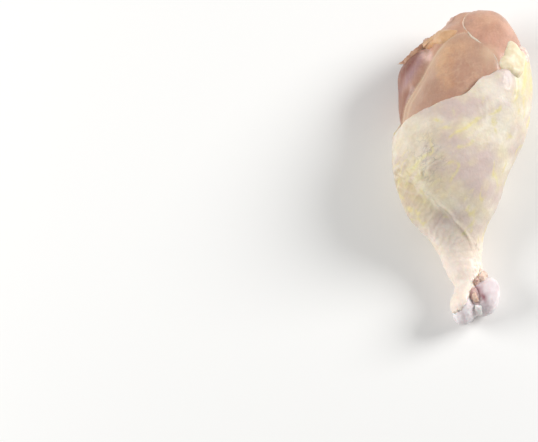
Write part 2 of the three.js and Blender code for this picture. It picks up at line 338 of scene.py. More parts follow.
def shade_muscle():
    material, tree, shader, mm = new_material("raw muscle under silverskin", {
        "IOR": 1.38, "Subsurface Weight": 0.35, "Subsurface Radius": (1, 0.42, 0.26),
        "Subsurface Scale": 0.0022, "Coat Weight": 0.25, "Coat Roughness": 0.2,
    })
    per_fibre = (1 / FIBRE_WIDTH, 1 / FIBRE_LENGTH, 1 / FIBRE_WIDTH)
    grain = add_node(tree, "VectorMath", {0: mm, 1: per_fibre}, operation="MULTIPLY")
    fibres = add_node(tree, "TexNoise", {"Vector": grain, "Scale": 1, "Detail": 3})
    cloud = add_node(tree, "TexNoise", {"Vector": mm, "Scale": 1 / MEAT_CLOUD, "Detail": 4})
    speck = add_node(tree, "TexNoise", {"Vector": mm, "Scale": 1 / MEAT_SPECK, "Detail": 2})
    colour = layered(tree, MEAT_TAN, [
        ("pink", MEAT_PINK), ("amber", MEAT_AMBER), ("brown", MEAT_BROWN), ("lilac", SHEATH_LILAC),
        ("blush", PINK_HIGHLIGHT), ((cloud, 0.42, 0.68, 0, 0.45), MEAT_DARK),
        ((fibres, 0.5, 0.75, 0, 0.14), SHEATH_WHITE), ((speck, 0.35, 0.65, 0.12, 0), MEAT_BROWN),
        ("sheath", SHEATH_WHITE),
    ])
    height = add_node(tree, "Math", {0: fibres, 1: speck}, operation="ADD")
    roughness = add_node(tree, "MapRange", {0: cloud, 3: 0.34, 4: 0.5})
    finish_surface(tree, shader, colour, height, 0.1, 0.0004, roughness)
    return material


def knee_form(points):
    """The swell of the inner muscle and the dip beside the knee, in mm off the plain bellies."""
    return 1.6 * spot(points, -26, 41, 5, 6) - 1.8 * spot(points, -6, 66, 6, 5)


# Rings from the knee to the ankle, close where the meat is bare and wide apart under the skin.
BARE_END = 7
MUSCLE_AROUND, KNEE_RINGS, BARE_RINGS, HIDDEN_RINGS = 384, 62, 100, 20
UNDER_SKIN, SET_BACK = 1.7, 0.05
angles = np.arange(MUSCLE_AROUND) * 360 / MUSCLE_AROUND
stations = np.concatenate([
    np.linspace(KNEE_POLE, KNEE_START, KNEE_RINGS)[1:],
    np.linspace(KNEE_START, BARE_END, BARE_RINGS)[1:],
    np.linspace(BARE_END, MUSCLE_END, HIDDEN_RINGS)[1:],
])
meat = cast(muscle_distance, *leg_rays(angles, stations[:, None]))
outward = facing(muscle_distance, meat)
x, y, z = np.moveaxis(meat, -1, 0)
borders = (FRONT_BORDER, DEEP_BORDER, INNER_BORDER)
right_of_front, right_of_deep, right_of_inner = [beside(meat, border)[0] for border in borders]
on_top = ease(13, 17, z)

# How much of each belly there is at each point: told by the borders on top, and by depth at the sides.
depths = {name: belly_distance(meat, *belly) for name, belly in BELLIES.items()}
nearest = np.stack(list(depths.values())).min(0)
weights = {name: np.exp((nearest - depth) / 0.6) for name, depth in depths.items()}
total = sum(weights.values())
front_top = ease(-0.4, 0.4, right_of_front) * ease(-0.4, 0.4, right_of_deep)
calf_top = (1 - front_top) * ease(-0.4, 0.4, right_of_inner) * ease(58, 56, y)
in_front = weights["front"] / total * (1 - on_top) + front_top * on_top
in_calf = weights["calf"] / total * (1 - on_top) + calf_top * on_top
in_deep = (1 - in_front - in_calf) * ease(-1.2, 1.2, depths["inner"] - depths["deep"])
in_inner = 1 - in_front - in_calf - in_deep

# Its relief: lumps, fibres, grooves between the bellies, and the rough rim of the hollow.
by_hollow = bell(belly_distance(meat, *KNEE_HOLLOW), 2.4)
knee_side = ease(50, 55, y)
bare = ease(BARE_END, 16, y)
groove = 0.22 * bell(right_of_front, 0.8) + 0.35 * bell(right_of_inner, 0.9)
groove += 0.2 * bell(right_of_deep, 0.9) * knee_side
relief = 0.4 * lumps(meat, 13, 1) + 0.2 * lumps(meat, 4.5, 2) + 0.05 * lumps(meat, 1.1, 3, (1, 6, 1))
relief += knee_form(meat) - groove * on_top
relief += by_hollow * (0.5 * lumps(meat, 3, 5) + 0.3 * lumps(meat, 1.3, 10))
hidden = UNDER_SKIN * ease(9, 2, y)
meat = meat + outward * (relief * bare - hidden - SET_BACK)[..., None]

# Its colours: a brown and lilac inner belly, with painted shade on its lower part and a pale pink tip that is
# partly a painted highlight, amber fat, and white sheath along the borders.
pink = 0.65 * in_front + 0.85 * in_deep + 0.25 * in_inner
lilac = 0.8 * (in_inner * bell(right_of_inner + 5, 2.1) * ease(29, 37, y) * ease(55, 50, y) * on_top)
blotch = 0.35 * lumps(meat, 4, 8) + 0.2 * lumps(meat, 1.5, 9)
brown = 0.95 * in_inner * ease(-4.5, -8, right_of_inner)
brown += 0.15 * in_calf * ease(0.3, 0.55, patch(meat, -1, 35.5, 6, 7) + blotch)
# Painted shade: the lower part of the inner belly's top is browner, over its own brown.
brown += 0.7 * in_inner * ease(36, 29, y) * on_top
brown += 0.1 * in_deep * on_top + 0.22 * in_calf * ease(38, 26, y) * ease(4, -4, x)
brown += 0.4 * by_hollow * ease(-0.4, 0.4, lumps(meat, 2.5, 11))
brown += in_inner * patch(meat, -26, 46, 3.5, 5, 0.35)
amber = 0.75 * in_calf * ease(0.2, 0.9, patches(meat, (-8.5, 42, 6, 9), (-5.5, 30, 5, 4, 0.6)) + blotch)
amber += in_front * patch(meat, 10, 62, 9, 6, 0.3) + in_calf * patch(meat, -3, 48, 6, 5, 0.6)
amber += 0.3 * in_deep * on_top
# The inner belly's tip is pale pink, partly from its sheath and partly a painted highlight, and is less
# brown.
pink_highlit_tip = in_inner * ease(0.2, 0.7, patch(meat, -13.8, 49.5, 5, 6) + 0.5 * blotch)
brown *= 1 - 0.9 * pink_highlit_tip
pale_tip = patch(meat, 11.5, 44.5, 4, 4, 0.55)
pale_tip += 0.4 * ease(0.05, 0.55, lumps(meat, 4, 12, (1, 2.5, 1))) * ease(58, 66, y) * (1 - 0.8 * on_top)
band = np.exp(-np.maximum(right_of_inner + 1.4 * lumps(meat, 5, 4), 0) / 3.4)
band *= ease(0, 0.5, right_of_inner) * (1 - 0.7 * ease(-10, -3, x))
lines = 0.65 * bell(right_of_inner, 0.5) + 0.2 * bell(right_of_front, 0.4)
lines += 0.35 * bell(right_of_inner - 2.2, 0.5) * ease(38, 28, y) * in_calf
lines += 0.6 * bell(right_of_deep, 0.4) * knee_side
veins = np.maximum(0, 1 - 9 * np.abs(lumps(meat, 5, 6) + 0.2 * lumps(meat, 1.7, 7)))
veins *= patch(meat, 1, 34, 9, 7)
sheath = clamp((0.55 * band * in_calf + lines + 0.3 * veins) * on_top + pale_tip)
blush = 0.95 * pink_highlit_tip
masks = {"pink": pink, "amber": amber, "brown": brown, "lilac": lilac, "blush": blush, "sheath": sheath}
muscles = make_piece("muscles", meat, shade_muscle(), masks)
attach(muscles, "root")
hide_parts("meat")

# ---- Skin ----
# Thin raw skin with yellow fat under it, a closed sleeve drawn over the calf and shank. It was cut free
# round the calf, folds over on the inner side, and ends in a torn edge above the ankle knobs.
SKIN_INNER, SKIN_OUTER, LINING_FLOOR, ANKLE_WRAP = 0.3, 1.7, 1.5, 4
SKIN_BRIDGES = {"front": 8, "inner": 8, "deep": 8, "flexor": 8, "shin": 8}
BASE_PRESS = 1.2
# The bone under the skin: tapers from end to end with their radii, and knobs with their radii and turn.
BONE_TAPERS = [
    ([1.5, -44, 9.8], 4.6, [6.5, -58, 9.2], 6.2),
    ([1.5, -44, 9.8], 4.6, [4, 52, 15.5], 5),
]
BONE_KNOBS = [
    ([11.2, -59.5, 9.8], [5.6, 8.8, 9.2], 14),
    ([1.8, -64, 9.4], [5.4, 8.2, 8.7], 18),
    ([-1.5, 58, 15], [7, 7, 6.2], 0),
    ([9.5, 58.5, 15.2], [7, 7, 6.2], 0),
]
# The skin's two edges: angles about the leg in degrees, and the y of the edge there.
CUT_EDGE = [
    [-150, 24], [-110, 40], [-60, 48], [-15, 53], [12, 52], [18, 48], [24, 42], [32, 37.5], [41, 37.5],
    [48, 37.5], [55, 36.3], [60, 34.8], [67, 33.7], [72, 32.3], [77, 29.2], [81.5, 26.9], [86, 25.3],
    [97, 23.8], [108, 22.2], [119, 20.4], [138, 18.4], [152, 16.3], [163, 13.8], [182, 12],
]
ANKLE_EDGE = [
    [-150, -56], [-90, -50.5], [-20, -47.5], [30, -48.2], [51, -50.6], [70, -52.9], [78, -54.6], [96, -58.4],
    [105, -62], [121, -67.2], [144, -68.9], [165, -68], [180, -65],
]
# Lines on the skin as they show from above: the fold, a rolled lobe, stretched threads, and streaks of fat.
FOLD = [
    [-52, 12], [-40, 3], [-33, -3.5], [-28.6, -7.9], [-18.3, -17.3], [-11.6, -22.8], [-3.1, -30],
    [1.8, -34.6], [3.5, -38],
]
LOBE_RIM = [[20.2, 39.5], [21.7, 37.5], [23.2, 34.5], [23.7, 30.9], [23.2, 26.3], [21.9, 22.5]]
LOBE_CREASE = [[17, 36.4], [19.2, 34.3], [20.5, 31.7], [20.1, 28.9]]
STRETCH_LINES = [[[6.2, 23], [8, 17], [9.2, 12.5], [9.4, 6.6]], [[10.5, 25], [10.9, 16], [10.7, 7]]]
FAT_VEINS = [
    [[-14, 14], [-11.6, 12.9], [-7.6, 11.7]],
    [[-10.1, 8.4], [-7.6, 9], [-3.7, 8.7]],
    [[-6.7, 4], [-4.9, 4.8], [-3.1, 6.5], [0.8, 8.6], [3.6, 10.8], [6.9, 13.6], [9.4, 14.7]],
    [[-3.4, -0.9], [-2.7, 0.2], [0.8, 1.1], [3.6, 2.5], [6.4, 5]],
    [[-14.3, 5.4], [-13.8, 3.7], [-13.4, 1.4], [-12.9, -1.3], [-17.1, -3.3], [-19.3, -5.2], [-22.1, -8.3]],
    [[-3.6, 17.4], [-3.5, 13.9]],
    [[9.1, 24], [9.2, 22.5], [9.4, 19.8]],
    [[14.2, 17.4], [13.6, 13], [14.5, 9.9], [16.4, 7]],
    [[18.1, 21.6], [17.2, 19.3], [14.2, 16.9], [11.4, 15.7]],
    [[-7.6, -7.2], [-4.2, -5.9], [-1.8, -6.1], [-2, -9.3], [-4.2, -12.5], [-4.9, -15.7]],
    [[24.3, 33.5], [24.6, 27.8], [24, 24.7], [22.3, 22]],
    [[27.1, 46], [27.8, 40.8], [28, 36]],
    [[13.7, 18.4], [14.7, 14.6], [14.4, 10.3]],
    [[25.6, 22.3], [25.1, 17.4]],
    [[23.9, 36.6], [24.4, 32.4], [24.2, 28.8], [23.2, 25.5]],
    [[26.8, 44.4], [27.7, 39.1], [27.9, 34.5], [27.2, 29.7], [25.9, 24.8]],
]
# Rings close to an edge, by their distance from it, round it off.
LIP = [0, 0.08, 0.2, 0.38, 0.6, 0.85, 1.15]
LIP_ROUND = 1.2


def bone_distance(points):
    shaft = np.minimum(*[taper_distance(points, *taper) for taper in BONE_TAPERS])
    for knob in BONE_KNOBS:
        shaft = smooth_min(shaft, belly_distance(points, *knob), KNOB_BLEND)
    return shaft


def skin_distance(points, offset, floor):
    knuckle = bone_distance(points) - SKIN_INNER
    wrapped = smooth_min(bundle_distance(points, SKIN_BRIDGES), knuckle, ANKLE_WRAP)
    return smooth_max(wrapped - offset, floor - points[..., 2], FLOOR_BLEND)


def outer_face(points):
    return skin_distance(points, SKIN_OUTER, -BASE_PRESS)


def inner_face(points):
    return skin_distance(points, SKIN_INNER, LINING_FLOOR)


def round_value(table, angle):
    """The smooth value of a table of angles that closes on itself."""
    wrapped = [[key - 360, value] for key, value in table[-2:]] + table
    wrapped += [[key + 360, value] for key, value in table[:2]]
    low = table[0][0]
    return curve_at(wrapped, (angle - low) % 360 + low)[..., 0]


def cells(points, size, seed):
    """Distances, from 0 to about 1, to the nearest cell centre and to the border between cells."""
    scaled = (points / size + 7.1 * seed).reshape(-1, 3).tolist()
    near = np.array([noise.voronoi(p)[0][:2] for p in scaled]).reshape(*points.shape[:-1], 2)
    return near[..., 0], near[..., 1] - near[..., 0]


def bumps(points, size, seed, slope):
    """Round bumps from 0 to 1, one to a cell, and the smaller the steeper their slope."""
    return np.maximum(0, 1 - slope * cells(points, size, seed)[0])


# Raw chicken skin: cream fat under a clear wet layer, lilac where meat shows through, yellow fat streaks,
# grey painted shade in the creases, and tan in the fold that is partly painted shade.
SKIN_CREAM, SKIN_PALE, SKIN_LILAC, SHANK_PEACH = "#e0d2b9", "#f2e9d9", "#ceb9b3", "#faeadb"
FAT_YELLOW, VEIN_YELLOW, SHADE_AND_SPECK_GREY, TAN_AND_SHADE = "#e6daa6", "#e4d68c", "#94867f", "#c8b292"
PORE_SPACING, STREAK_WIDTH, SKIN_CLOUD, SKIN_GRAIN = 1.3, 0.9, 9, 1.6
CRACKLE_WIDTH, CRACKLE_BEND, BEND_SIZE = 2.1, 3, 2.5


def shade_skin():
    material, tree, shader, mm = new_material("raw chicken skin", {
        "IOR": 1.4, "Subsurface Weight": 0.3, "Subsurface Radius": (1, 0.5, 0.32),
        "Subsurface Scale": 0.002, "Coat Weight": 0.25, "Coat Roughness": 0.22,
    })
    broad = add_node(tree, "TexNoise", {"Vector": mm, "Scale": 1 / SKIN_CLOUD, "Detail": 4})
    fine = add_node(tree, "TexNoise", {"Vector": mm, "Scale": 1 / SKIN_GRAIN, "Detail": 3})
    pores = add_node(tree, "TexVoronoi", {"Vector": mm, "Scale": 1 / PORE_SPACING})
    slant = add_node(tree, "Attribute", out="Vector", attribute_name="slant")
    bend = add_node(tree, "TexNoise", {"Vector": slant, "Scale": 1 / BEND_SIZE}, "Color")
    bent = add_node(tree, "VectorMath", {0: bend, 1: (CRACKLE_BEND,) * 3, 2: slant}, operation="MULTIPLY_ADD")
    cracks = {"Vector": bent, "Scale": 1 / CRACKLE_WIDTH}
    border = add_node(tree, "TexVoronoi", cracks, feature="DISTANCE_TO_EDGE")
    crackle = add_node(tree, "MapRange", {0: border, 1: 0, 2: 0.1, 3: 1, 4: 0})
    net_at = add_node(tree, "Attribute", out="Fac", attribute_name="net")
    crackle = add_node(tree, "Math", {0: crackle, 1: net_at}, operation="MULTIPLY")
    vein = add_node(tree, "Attribute", out="Fac", attribute_name="vein")
    streak = add_node(tree, "TexNoise", {"Vector": slant, "Scale": 1 / STREAK_WIDTH, "Detail": 2})
    vein = add_node(tree, "Math", {0: streak, 1: 0.9, 2: vein}, operation="MULTIPLY_ADD")
    # Painted shade greys the crackle's lines.
    crackle_shade = add_node(tree, "Math", {0: crackle, 1: 0.5}, operation="MULTIPLY")
    colour = layered(tree, SKIN_CREAM, [
        ((broad, 0.42, 0.62, 0, 0.7), SKIN_PALE), ("pale", SKIN_PALE), ("lilac", SKIN_LILAC),
        ("peach", SHANK_PEACH), ("fold", TAN_AND_SHADE), ("yellow", FAT_YELLOW), ("crease", SHADE_AND_SPECK_GREY),
        ((vein, 0.9, 1.45, 0, 0.6), VEIN_YELLOW), (crackle_shade, SHADE_AND_SPECK_GREY),
        ((fine, 0.4, 0.66, 0.1, 0), SHADE_AND_SPECK_GREY),
    ])
    pits = add_node(tree, "MapRange", {0: pores, 1: 0, 2: 0.55, 3: 1, 4: 0})
    height = add_node(tree, "Math", {0: pits, 1: fine}, operation="ADD")
    height = add_node(tree, "Math", {0: crackle, 1: -1.5, 2: height}, operation="MULTIPLY_ADD")
    roughness = add_node(tree, "MapRange", {0: broad, 3: 0.36, 4: 0.56})
    finish_surface(tree, shader, colour, height, 0.15, 0.0003, roughness)
    return material


SKIN_AROUND, SKIN_ROWS, LINING_ROWS = 384, 205, 30
angles = np.arange(SKIN_AROUND) * 360 / SKIN_AROUND
turn = np.stack([np.cos(np.radians(angles)), np.sin(np.radians(angles)), 0 * angles], -1)
cut = round_value(CUT_EDGE, angles) + 0.5 * lumps(turn, 0.16, 21) + 0.3 * lumps(turn, 0.05, 22)
torn = round_value(ANKLE_EDGE, angles) + lumps(turn, 0.35, 23) + 0.7 * lumps(turn, 0.1, 24)
shares = np.linspace(0, 1, SKIN_ROWS)[:, None]
down = (cut - LIP[-1]) * (1 - shares) + (torn + LIP[-1]) * shares
lip = np.array(LIP)[:, None]
stations = np.concatenate([cut - lip[:-1], down, torn + lip[:-1][::-1]])
from_edge = np.minimum(cut - stations, stations - torn)
skin = cast(outer_face, *leg_rays(angles, stations))
outward = facing(outer_face, skin)
x, y, z = np.moveaxis(skin, -1, 0)
side, place = beside(skin, FOLD)
top = ease(8, 16, z)
warp = wander(skin, 6, 31, 32, 33)

# Its relief: swells of fat, the fold's ridge and step, a net of fine creases, wrinkles that fan from the
# fold, a rolled lobe, rings round the shank, and the bumps that the feathers grew from.
swell = 0.4 * lumps(skin, 12, 11) + 0.16 * lumps(skin, 5, 12) + 0.05 * lumps(skin, 2.2, 13)
off_fold = side + 0.9 * lumps(skin, 5, 14)
folded = ease(9, 24, z + 0.35 * x + 6) * ease(-42, -31, y) * ease(14, 34, place)
step = ease(-1, 1.8, off_fold) * folded * (1 - 0.5 * ease(50, 64, place))
ridge = bell(off_fold + 0.9, 0.8) * folded
lobe_side, lobe_place = beside(skin, LOBE_RIM)
lobe_rim = bell(lobe_side, 0.6) * ease(3, 8, lobe_place) * ease(17, 14, lobe_place) * top
lobe = patch(skin, 18.5, 32, 4.5, 6) * ease(0, 1.2, lobe_side)
lobe_crease = bell(beside(skin, LOBE_CREASE)[0], 0.5) * top
stretched = 0
for line in STRETCH_LINES:
    off_line, on_line = beside(skin, line)
    stretched += bell(off_line, 0.45) * ease(0, 4, on_line) * ease(17, 10, on_line) * top
slant, upright = [
    np.stack([y * math.cos(t) - x * math.sin(t), x * math.cos(t) + y * math.sin(t), 0.4 * z], -1) + 1.3 * warp
    for t in (math.radians(38), math.radians(82))
]
net_area = clamp(patches(skin, (-13.5, -5.5, 6, 8.5, 1.2), (-18, 2, 6, 7, 0.4)))
net = ease(0.16, 0.03, cells(slant * np.array([1, 0.55, 1]), 1.9, 1)[1]) * net_area
wrinkle_area = clamp(net_area + 0.8 * bell(side + 3.5, 5) * top)
wrinkle = np.maximum(0, 1 - 5 * np.abs(lumps(slant, 2.2, 15, (1, 4.5, 1)))) * wrinkle_area
below = ease(0.8, 2.5, off_fold) * ease(24, 14, off_fold) * top
pleats = np.sin(2.3 * place + 3 * lumps(skin, 5, 16)) * below * ease(4, 14, place)
rings = np.sin(2.3 * y + 3 * lumps(skin, 5, 17)) * ease(-26, -38, y)
goose = bumps(skin, 2, 2, 1.7) * ease(-32, -38, y) * ease(4, 7, x)
follicles = bumps(skin, 4.2, 3, 3) ** 1.5 * (1 - 0.7 * top)
pebbles = bumps(skin, 1.7, 4, 1.6)
tan_band = bell(off_fold - 2.6, 1.8) * folded * ease(54, 44, place)
tan_folds = lumps(np.stack([0.3 * place, side + 0.8 * lumps(skin, 4, 19), 0 * side], -1), 1.1, 18)
tan_folds = tan_folds * clamp(patch(skin, -25.5, -9, 7.5, 5.5, 1.3) + 0.5 * tan_band)
relief = swell - 0.7 * step + 0.4 * ridge - 0.06 * net - 0.05 * wrinkle + 0.07 * pleats + 0.025 * rings
relief += 0.5 * goose - 0.3 * ease(-36, -42, y) * ease(4, 7, x) + 0.45 * follicles + 0.03 * pebbles
relief += 0.7 * tan_folds + 0.35 * lobe - 0.25 * lobe_rim - 0.14 * lobe_crease + 0.1 * stretched
relief *= ease(-0.2, 1.8, from_edge) * (0.2 + 0.8 * ease(0.5, 5, z))
rounded = np.sqrt(1 - (1 - clamp(from_edge / LIP_ROUND)) ** 2)
wall = (SKIN_OUTER - SKIN_INNER) * (0.35 + 0.65 * ease(0, 6, stations - torn))
relief += wall * rounded - (SKIN_OUTER - SKIN_INNER)
relief -= ease(1.2, 0, stations - torn) + 0.3 * ease(0.8, 0, cut - stations)
skin = skin + outward * relief[..., None]
skin[..., 2] = np.maximum(skin[..., 2], 0)

# The side that lies on the meat, pressed into it away from the cut edge.
inner_shares = np.array([1, 0.99, 0.97, *np.linspace(0.94, 0.06, LINING_ROWS), 0.03, 0.01, 0])[:, None]
lining_at = cut * (1 - inner_shares) + torn * inner_shares
lining = cast(inner_face, *leg_rays(angles, lining_at))
sunk = 1.2 * ease(0.5, 4, cut - lining_at)
lining = (lining - facing(inner_face, lining) * sunk[..., None])[1:-1]

# Its colours: lilac where it is thin, yellow streaks and patches of fat, tan in the fold, peach on the shank,
# and painted light and shade: paler on the right and at the fold's foot, grey in creases, tan shade under the
# fold and at upper left.
mottle = 0.6 * lumps(skin, 10, 41) + 0.3 * lumps(skin, 3.5, 42) + 0.4 * lumps(slant, 3.5, 46, (1, 3.5, 1))
thin = patches(
    skin, (0.5, 16, 4, 3, 0.9), (-10, 3, 6, 6, 0.6), (9, -9, 13, 13, 0.8), (10, 20, 8, 5, 0.5),
    (-5, 18, 13, 5, 1.1),
)
# Thick skin shows less lilac. The patch at 16.5, -6 is painted light that pales the lower right side.
thick = patches(
    skin, (-24, 8, 8, 14, 0.7), (-8, -20, 9, 7, 0.5), (18, 28, 6, 5, 1.2), (16.5, -6, 4, 8, 0.7),
    (17, 11, 5, 6, 0.9), (26, 24, 5, 9, 0.7),
)
lilac = ease(-0.5, 0.7, mottle + 0.7 * thin - 0.7 * thick)
slanted, standing = [1 - 3.2 * np.abs(lumps(way, 3.8, 43, (1, 4.5, 1))) for way in (slant, upright)]
streaks = slanted + (standing - slanted) * ease(-2, 9, x)
vein = streaks * ease(-0.1, 0.35, lumps(skin, 8, 44)) * (1 - 0.5 * ease(30, 38, z))
wavy = skin[..., :2] + 0.35 * (warp[..., :2] + wander(skin, 1.8, 50, 51))
wide = 1 + 0.4 * lumps(skin, 2.5, 48)
for line in FAT_VEINS:
    off_vein, on_vein = beside(wavy, line)
    tapered = 0.5 + 0.5 * ease(0, 3, on_vein) * ease(0, 3, drawn(line)[1][-1] - on_vein)
    vein = np.maximum(vein, wide * tapered * (1 - np.abs(off_vein) / 1.7) * top)
vein = clamp(vein) * ease(-45, -35, y)
yellow = 0.42 * vein**1.5 + 0.2 * ease(0.1, 0.6, lumps(skin, 6, 45)) * ease(-45, -35, y) + 0.12 * net_area
fatty = patches(
    skin, (4, 10, 7, 4), (-24, -9, 4, 4, 0.5), (-18, -5, 6, 4, 0.7), (-20, -12, 7, 4), (-5, -16, 8, 4, 0.7),
)
yellow += 0.5 * fatty * ease(-0.3, 0.35, lumps(slant, 2.5, 49, (1, 3, 1)))
yellow += patches(
    skin, (29, 37, 4, 9, 0.5), (4, 11, 5, 3, 0.35), (-14, -21, 8, 4, 0.3), (-23, -11, 6, 3, 0.25),
)
yellow = clamp(yellow)
# Painted shade: grey in the crackle lines, the wrinkles, and the lobe's rim and crease, with a grey tint over
# the crackled patch.
crease = clamp(0.14 * net + 0.06 * wrinkle + 0.15 * lobe_rim + 0.12 * net_area + 0.25 * lobe_crease)
# Tan of the wrinkled skin in the fold, with painted shade under the fold's step and, in the patch at -20, 8,
# on the upper left side.
fold = 0.5 * ease(-0.6, 2.2, off_fold) * (1 - 0.8 * ease(5, 15, off_fold)) * ease(12, 22, z)
fold *= 1 - 0.85 * ease(50, 62, place)
fold += patches(skin, (-23, -10, 9, 6, 0.45), (30, 36, 3, 10, 0.4)) + 0.35 * tan_band - 1.4 * tan_folds
fold = clamp(fold) * ease(-42, -24, y)
fold = clamp(fold + patches(skin, (4.5, -38, 6, 6, 0.3), (-20, 8, 12, 14, 0.28)))
lilac = 0.85 * clamp(lilac + 0.8 * lobe - 0.35 * stretched)
# Painted light: paler on the right side, higher up short of the lobe, and at the fold's foot where the fold's
# step shades it. The stretched threads are pale of their own.
pale = patches(skin, (17, 12, 7, 9, 0.9), (-5.5, -32.6, 4, 5, 1.2)) + 0.5 * stretched
pale = clamp(pale + patch(skin, 17, 28, 8, 6, 0.9) * ease(20, 17.5, x))
peach = ease(-26, -38, y) * (1 - 0.5 * fold)
net_area = clamp(net_area + 0.2 * wrinkle_area + 0.04) * ease(-0.25, 0.3, lumps(skin, 3, 47))
masks = {
    "lilac": lilac, "yellow": yellow, "crease": crease, "fold": fold, "peach": peach, "net": net_area,
    "pale": pale, "vein": vein,
}
masks = {name: np.concatenate([values, 0 * lining[..., 0]]) for name, values in masks.items()}
masks["slant"] = np.concatenate([slant * np.array([1, 0.5, 1]), lining])
sleeve = make_piece("skin_sleeve", np.concatenate([skin, lining]), shade_skin(), masks, loop=True)
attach(sleeve, "root")
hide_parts("skin")

# ---- Bone and cartilage ----
# The shin bone. Its two ankle knobs and its two knee knobs are capped with cartilage, and show bare.
BONE_SPINE = [[-63, 6.5, 9.2], [-46, 1.8, 9.7], [-30, 1.9, 10.6], [58, 4, 15.2]]
BLOOD_LINE = [[6.4, -57.2], [7.5, -59], [8.8, -61], [10.2, -62.5]]
# Wet cartilage: smooth, bluish white and slightly clear, with lilac where blood shows through, and lilac-grey
# painted shade on the ankle knobs.
CARTILAGE_WHITE, CARTILAGE_LILAC, BLOOD_RED = "#f5edec", "#cdbabd", "#98656b"
CARTILAGE_CLOUD, CARTILAGE_SPECK = 3.5, 0.7


def shade_cartilage():
    material, tree, shader, mm = new_material("wet cartilage", {
        "Roughness": 0.5, "IOR": 1.4, "Subsurface Weight": 0.3, "Subsurface Radius": (1, 0.6, 0.5),
        "Subsurface Scale": 0.0015, "Coat Weight": 0.1, "Coat Roughness": 0.25,
    })
    cloud = add_node(tree, "TexNoise", {"Vector": mm, "Scale": 1 / CARTILAGE_CLOUD, "Detail": 4})
    speck = add_node(tree, "TexNoise", {"Vector": mm, "Scale": 1 / CARTILAGE_SPECK, "Detail": 2})
    colour = layered(tree, CARTILAGE_WHITE, [
        ((cloud, 0.4, 0.65, 0, 0.28), CARTILAGE_LILAC), ("dusk", CARTILAGE_LILAC), ("blood", BLOOD_RED),
    ])
    finish_surface(tree, shader, colour, speck, 0.2, 0.0003)
    return material


# Its rings are close at the two ends, which show, and wide apart along the shaft.
BONE_AROUND, DOME_RINGS = 144, 34
KNEE_END, SHAFT_TOP, SHAFT_FOOT, ANKLE_END = 58, 44, -40, -63
dome = np.linspace(math.pi / 2, 0, DOME_RINGS)[1:]
rays = [(KNEE_END, t) for t in dome]
stretches = [(KNEE_END, SHAFT_TOP, 22), (SHAFT_TOP, SHAFT_FOOT, 12), (SHAFT_FOOT, ANKLE_END, 48)]
for high, low, count in stretches:
    rays += [(s, 0) for s in np.linspace(high, low, count)[1:]]
rays += [(ANKLE_END, -t) for t in dome[::-1][1:]]
along, tilt = np.array(rays).T[..., None]
angles = np.arange(BONE_AROUND) * 360 / BONE_AROUND
knobs = cast(bone_distance, *limb_rays(BONE_SPINE, angles, along, tilt))
outward = facing(bone_distance, knobs)
x, y, z = np.moveaxis(knobs, -1, 0)
pit = patch(knobs, 5.6, -60, 1.6, 3.4)
pimples = bumps(knobs, 1.25, 5, 1.9)
relief = 0.25 * lumps(knobs, 4.5, 51) + 0.1 * lumps(knobs, 1.6, 52) - 0.5 * pit
relief += (0.12 + 0.3 * ease(-58, -65, y)) * pimples * ease(-52, -58, y)
knobs = knobs + outward * (relief * (ease(40, 46, y) + ease(-38, -44, y)))[..., None]
knobs[..., 2] = np.maximum(knobs[..., 2], 0.2)
off_blood, _ = beside(knobs, BLOOD_LINE)
blood = 0.65 * bell(off_blood, 1.2) * clamp(0.8 + lumps(knobs, 2, 54)) * ease(9, 14, z)
# Lilac-grey: painted shade on the outer ankle knob's upper left and lower rim, also on its right side and low
# down, lilac over the knee's knobs, and random lilac patches.
dusk = patches(
    knobs, (7.6, -56.5, 2.2, 3.4), (9, -66, 4, 2.6, 0.7), (14, -57, 4, 7, 0.6), (13, -67, 2.5, 2.2, 0.4),
)
dusk = clamp(dusk + 0.6 * ease(41, 47, y) + 0.3 * lumps(knobs, 2.5, 55))
blood += patch(knobs, 9, -61, 1.4, 2.8, 0.55) * clamp(0.8 + lumps(knobs, 1.2, 56))
blood = clamp(blood + pit + 0.2 * ease(0.2, 0.6, lumps(knobs, 3, 53)))
knuckles = make_piece("shin_bone", knobs, shade_cartilage(), {"dusk": dusk, "blood": blood})
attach(knuckles, "root")
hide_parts("bone")

# ---- Fat lumps ----
# A cream pad of fat in the notch of the skin and a strip of yellow fat between two muscles. Soft, waxy
# and slightly knobbly, they cling to the meat.
# Each has its solid's node, finish with two tones, noise seed, thickness, depth, way to cling and outline.
FAT_LUMPS = {
    "cream_fat_pad": ("fat_pad", ("cream fat", "#e9dcc0", "#ddcba8"), 61, 1.9, 1.4, True, [
        [21.4, 52.7, 32.5], [22.9, 52.6, 31], [25.1, 51, 28.8], [26.6, 48.5, 28.2], [27.3, 45.5, 29],
        [27, 42.6, 30.1], [26.7, 39.4, 31.2], [26.3, 36, 32.4], [25.6, 32.6, 33.4], [24.6, 30.2, 34.2],
        [23.6, 30.4, 35], [22.8, 32.6, 35.4], [21.6, 34, 35.8], [20.2, 35, 36.4], [18.6, 36, 37],
        [17, 37.6, 37.6], [16.2, 40.2, 38], [17.1, 42.9, 37.6], [18.4, 44.2, 37], [18.7, 46.3, 36],
        [19.5, 48.6, 35], [20.3, 51.2, 34],
    ]),
    "yellow_fat_strip": ("fat_seam", ("yellow fat", "#d8af87", "#cba079"), 62, 2, 3.2, None, [
        [-20.2, 53.4, 20.8], [-18.2, 55.2, 21.2], [-15.6, 56.8, 22.4], [-12.6, 58.2, 23.4],
        [-9.6, 59.6, 23.4], [-7.2, 59.2, 25.6], [-3.8, 57.8, 28], [-1, 56.4, 29.4], [-2.2, 55, 29.8],
        [-4.8, 53.4, 29.8], [-7.4, 51.6, 29.6], [-9.4, 51.2, 28.6], [-11.6, 52.4, 26.6], [-14, 53.2, 24.4],
        [-16.6, 53, 22.4], [-18.8, 52.2, 21.6],
    ]),
}
RIM_POINTS, LUMP_RINGS, EDGE_DROP = 96, 24, 0.5


